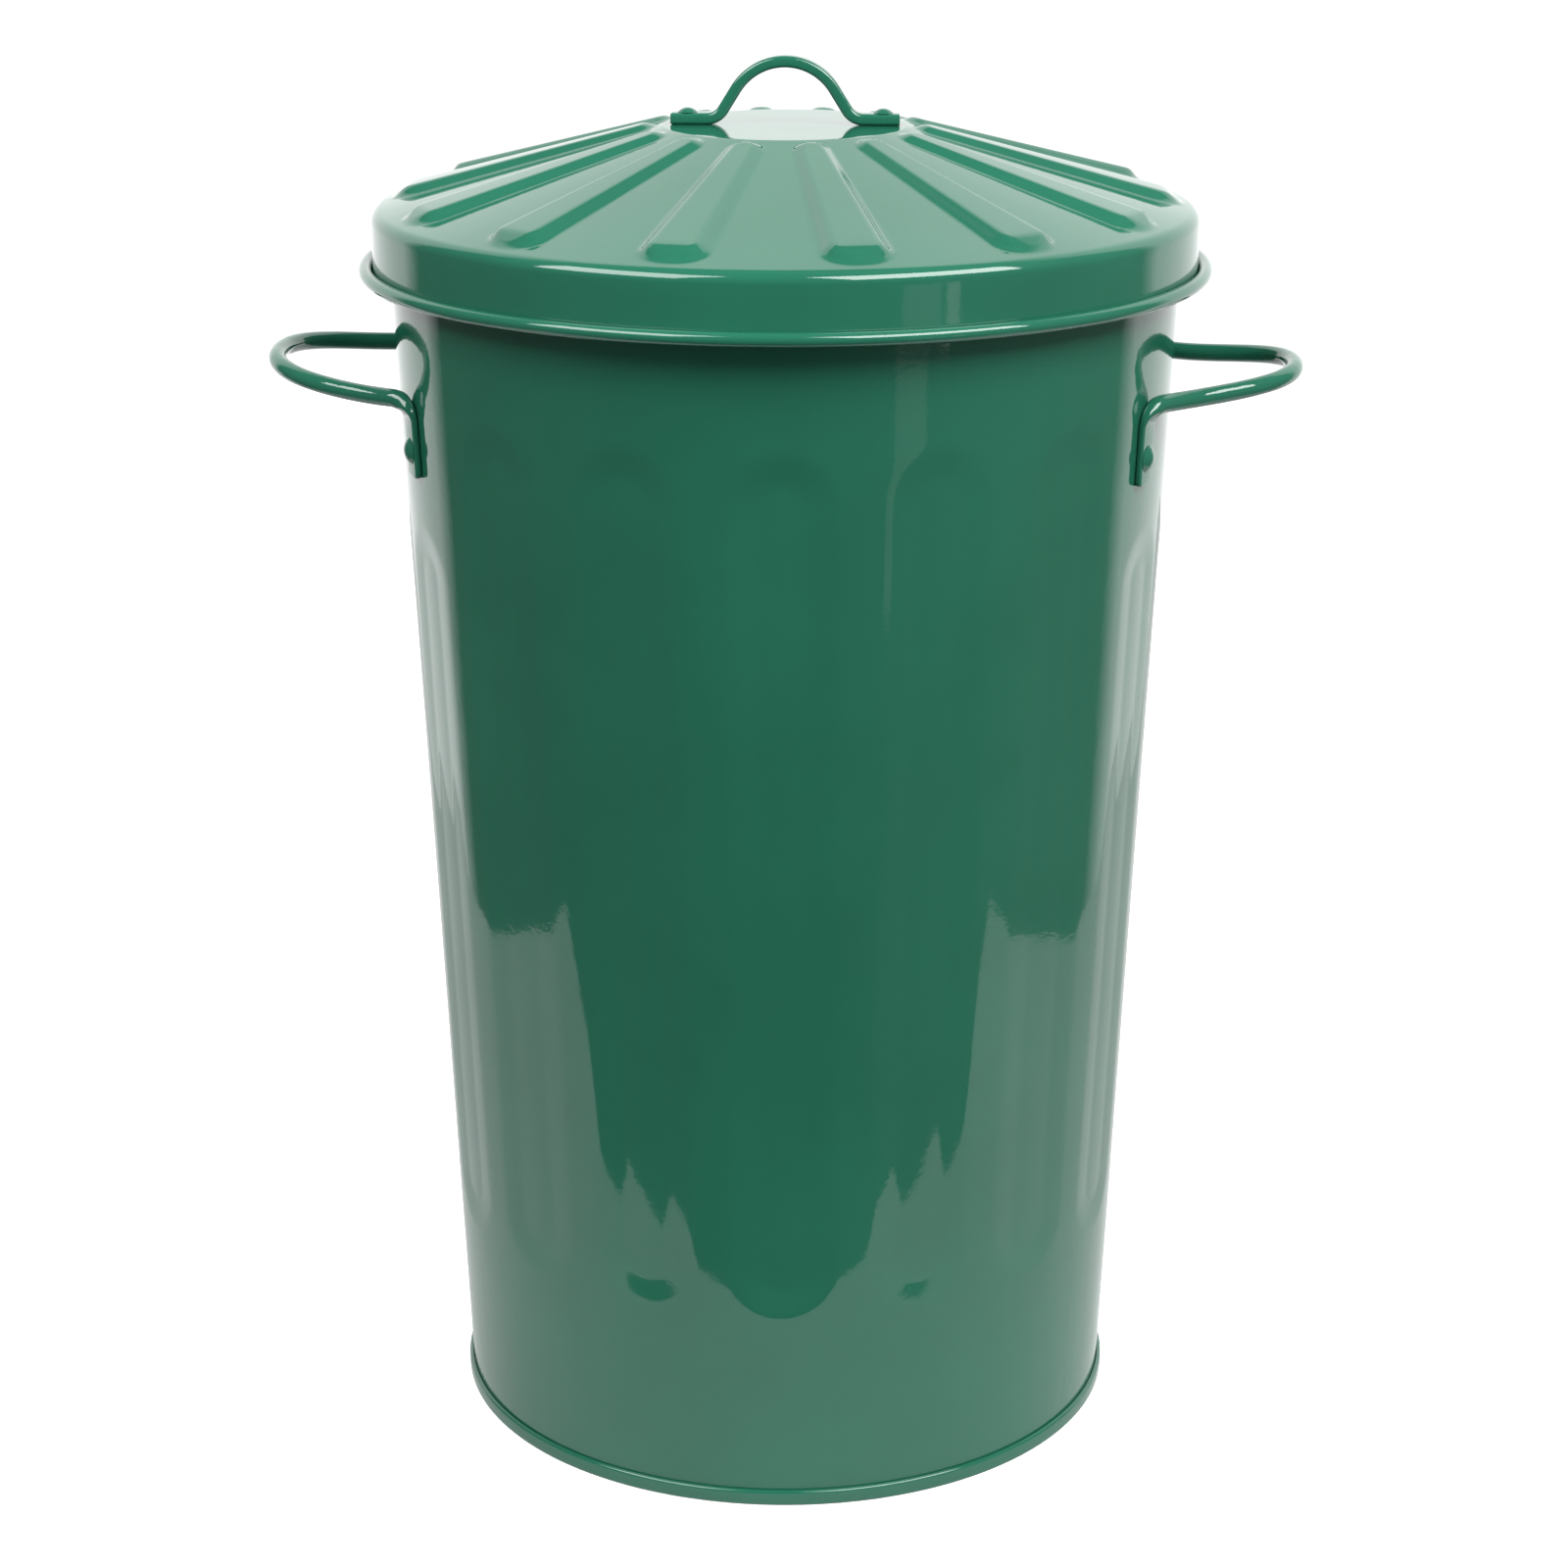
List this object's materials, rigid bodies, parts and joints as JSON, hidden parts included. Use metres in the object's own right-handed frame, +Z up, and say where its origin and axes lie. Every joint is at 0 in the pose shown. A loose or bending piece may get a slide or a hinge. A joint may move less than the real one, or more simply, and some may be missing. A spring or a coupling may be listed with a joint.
{
  "type": "litter bin",
  "caption": "Tapered fluted sheet-steel bin with riveted loop handles at its sides and a ribbed lift-off lid with a strap handle.",
  "frame": {"origin": "centre of the base on the floor", "axes": "+Z up, out of the bin's mouth; the side handles lie on X; the front of the bin faces -Y"},
  "size_m": [0.4416, 0.36, 0.5975],
  "materials": {
    "enamel_body": "gloss",
    "enamel_lid": "gloss",
    "enamel_handles": "gloss",
    "enamel_rivets": "gloss"
  },
  "bodies": {
    "bin": {"body_shell": "enamel_body", "base_pan": "enamel_body", "side_handle_left": "enamel_handles", "side_handle_right": "enamel_handles", "left_front_rivet": "enamel_rivets", "left_rear_rivet": "enamel_rivets", "right_front_rivet": "enamel_rivets", "right_rear_rivet": "enamel_rivets"},
    "lid": {"lid_shell": "enamel_lid", "lid_handle": "enamel_handles", "lid_rivet_left": "enamel_rivets", "lid_rivet_right": "enamel_rivets"}
  },
  "joints": [
    {"name": "lid_lift", "type": "slide", "parent": "bin", "child": "lid", "axis": [0, 0, 1], "range_m": [0, 0.45]}
  ]
}
